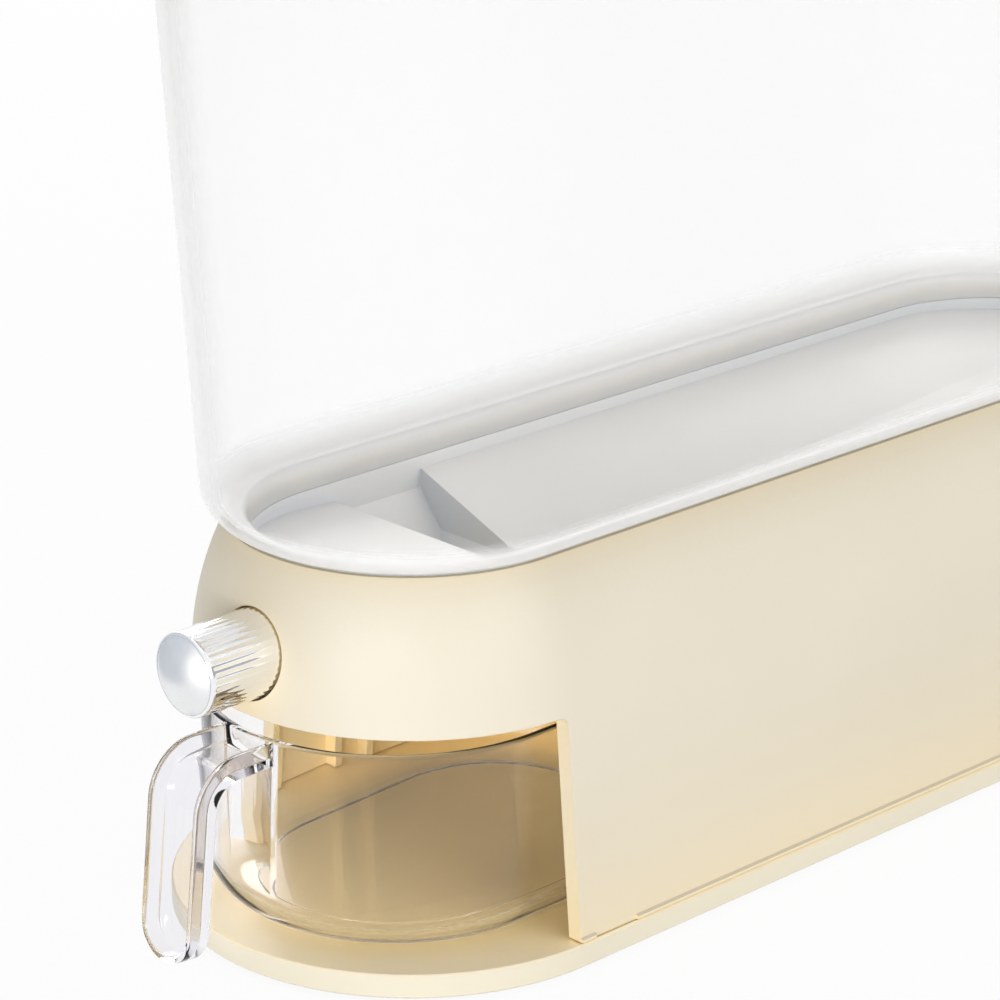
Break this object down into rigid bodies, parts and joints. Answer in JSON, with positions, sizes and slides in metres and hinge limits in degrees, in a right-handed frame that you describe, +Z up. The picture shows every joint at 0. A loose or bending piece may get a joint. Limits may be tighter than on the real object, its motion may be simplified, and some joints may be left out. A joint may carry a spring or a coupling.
{
  "type": "grain dispenser",
  "caption": "Upright kitchen grain dispenser: a translucent racetrack tank over a cream base with a push button that slides a gate and a clear pull-out measuring cup in its bay.",
  "frame": {"origin": "on the table under the middle of the object's outline", "axes": "+Z up, +Y from the button and cup at the front to the back, +X across to the right"},
  "size_m": [0.157, 0.4591, 0.3561],
  "materials": {
    "cream_plastic": "satin",
    "inner_plastic": "matt",
    "tank_plastic": "milky translucent",
    "hopper_plastic": "satin",
    "clear_plastic": "clear gloss",
    "chrome": "polished",
    "satin_metal": "satin",
    "seal_rubber": "matt",
    "foot_rubber": "matt",
    "steel": "bright"
  },
  "bodies": {
    "base": {"foot_plate": "cream_plastic", "rubber_feet": "foot_rubber", "base_shell": "cream_plastic", "bay_liner": "inner_plastic", "tank": "tank_plastic", "tank_seal": "seal_rubber", "hopper": "hopper_plastic", "outlet_seal": "seal_rubber", "gate_tray": "inner_plastic", "button_guide": "inner_plastic", "rod_bracket": "inner_plastic", "return_spring": "steel", "rear_cover": "cream_plastic", "hinge_pin": "steel", "plate_screws": "steel", "hopper_screws": "steel", "tray_screws": "steel", "mechanism_screws": "steel"},
    "button": {"button_cap": "chrome", "button_face": "satin_metal", "push_rod": "steel", "gate_plate": "inner_plastic", "rod_nut": "steel"},
    "cup": {"measuring_cup": "clear_plastic"},
    "lid": {"flip_lid": "cream_plastic", "lid_seal": "seal_rubber"}
  },
  "joints": [
    {"name": "button_press", "type": "slide", "parent": "base", "child": "button", "axis": [0, 1, 0], "range_m": [0, 0.017], "stiffness_N_per_m": 300, "springref_m": -0.01, "deforming": ["return_spring"]},
    {"name": "cup_pull", "type": "slide", "parent": "base", "child": "cup", "axis": [0, -1, 0], "range_m": [0, 0.18]},
    {"name": "lid_hinge", "type": "hinge", "parent": "base", "child": "lid", "pos_m": [0, 0.02105, 0.3519], "axis": [-1, 0, 0], "range_deg": [0, 105]}
  ]
}
